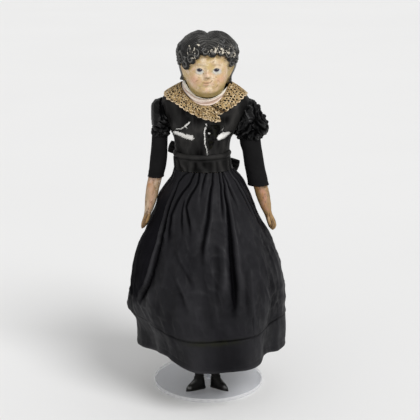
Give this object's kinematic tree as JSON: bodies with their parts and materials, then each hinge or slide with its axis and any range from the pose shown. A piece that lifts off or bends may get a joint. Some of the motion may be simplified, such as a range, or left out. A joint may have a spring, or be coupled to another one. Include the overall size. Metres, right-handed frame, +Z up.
{
  "type": "shoulder head doll",
  "caption": "Antique shoulder head doll with moulded black hair, lace collar and full black silk dress, jointed at shoulder, elbow, hip and knee, on a clear round display stand.",
  "frame": {"origin": "centre of the stand base's flat underside, on the surface it stands on", "axes": "+Z up; the doll faces -Y; +X is towards the doll's own left"},
  "size_m": [0.2132, 0.215, 0.4955],
  "materials": {
    "clear_acrylic": "polished clear",
    "papier_mache": "painted and varnished, worn",
    "stuffed_linen": "plain weave, stuffed",
    "white_cotton": "plain weave",
    "black_silk": "dull taffeta, split with age",
    "black_wool": "matte plain weave",
    "ivory_satin": "soft satin",
    "ecru_lace": "bobbin lace",
    "painted_wood": "flesh paint, worn and varnished",
    "black_stocking": "fine knit",
    "black_leather": "soft glove leather"
  },
  "bodies": {
    "stand": {"stand_base": "clear_acrylic", "stand_rod": "clear_acrylic", "stand_clip_collar": "clear_acrylic", "stand_waist_clip": "clear_acrylic"},
    "doll": {"torso": "stuffed_linen", "shoulder_head": "papier_mache", "chemise": "white_cotton", "bodice_right_front": "black_silk", "bodice_left_front": "black_silk", "bodice_back": "black_silk", "waistband": "black_silk", "skirt_front_breadth": "black_silk", "skirt_back_breadth": "black_silk", "skirt_left_breadth": "black_silk", "skirt_right_breadth": "black_silk", "skirt_hem_band": "black_silk", "petticoat": "white_cotton", "neckcloth": "ivory_satin", "lace_collar": "ecru_lace", "sash_knot": "black_silk", "sash_loop_right": "black_silk", "sash_loop_left": "black_silk", "sash_tail_right": "black_silk", "sash_tail_left": "black_silk"},
    "right_upper_arm": {"upper_arm_right": "stuffed_linen", "sleeve_puff_right": "black_silk", "sleeve_right": "black_wool"},
    "right_forearm": {"forearm_right": "painted_wood", "sleeve_cuff_right": "black_wool"},
    "right_upper_leg": {"upper_leg_right": "stuffed_linen"},
    "right_lower_leg": {"lower_leg_right": "black_stocking", "boot_right": "black_leather", "boot_sole_right": "black_leather"},
    "left_upper_arm": {"upper_arm_left": "stuffed_linen", "sleeve_puff_left": "black_silk", "sleeve_left": "black_wool"},
    "left_forearm": {"forearm_left": "painted_wood", "sleeve_cuff_left": "black_wool"},
    "left_upper_leg": {"upper_leg_left": "stuffed_linen"},
    "left_lower_leg": {"lower_leg_left": "black_stocking", "boot_left": "black_leather", "boot_sole_left": "black_leather"}
  },
  "joints": [
    {"name": "lift_off", "type": "slide", "parent": "stand", "child": "doll", "axis": [0, 0, 1], "range_m": [0, 0.29]},
    {"name": "right_shoulder", "type": "hinge", "parent": "doll", "child": "right_upper_arm", "pos_m": [-0.0618, -0.032, 0.386], "axis": [-1, 0, 0], "range_deg": [-25, 80]},
    {"name": "right_elbow", "type": "hinge", "parent": "right_upper_arm", "child": "right_forearm", "pos_m": [-0.0676, -0.032, 0.316], "axis": [-1, 0, 0], "range_deg": [0, 30]},
    {"name": "right_hip", "type": "hinge", "parent": "doll", "child": "right_upper_leg", "pos_m": [-0.023, -0.038, 0.238], "axis": [-1, 0, 0], "range_deg": [-8, 20]},
    {"name": "right_knee", "type": "hinge", "parent": "right_upper_leg", "child": "right_lower_leg", "pos_m": [-0.0175, -0.04, 0.125], "axis": [1, 0, 0], "range_deg": [0, 25]},
    {"name": "left_shoulder", "type": "hinge", "parent": "doll", "child": "left_upper_arm", "pos_m": [0.0522, -0.032, 0.386], "axis": [-1, 0, 0], "range_deg": [-25, 80]},
    {"name": "left_elbow", "type": "hinge", "parent": "left_upper_arm", "child": "left_forearm", "pos_m": [0.0628, -0.032, 0.316], "axis": [-1, 0, 0], "range_deg": [0, 30]},
    {"name": "left_hip", "type": "hinge", "parent": "doll", "child": "left_upper_leg", "pos_m": [0.0115, -0.038, 0.238], "axis": [-1, 0, 0], "range_deg": [-8, 20]},
    {"name": "left_knee", "type": "hinge", "parent": "left_upper_leg", "child": "left_lower_leg", "pos_m": [0.0136, -0.04, 0.125], "axis": [1, 0, 0], "range_deg": [0, 25]}
  ]
}
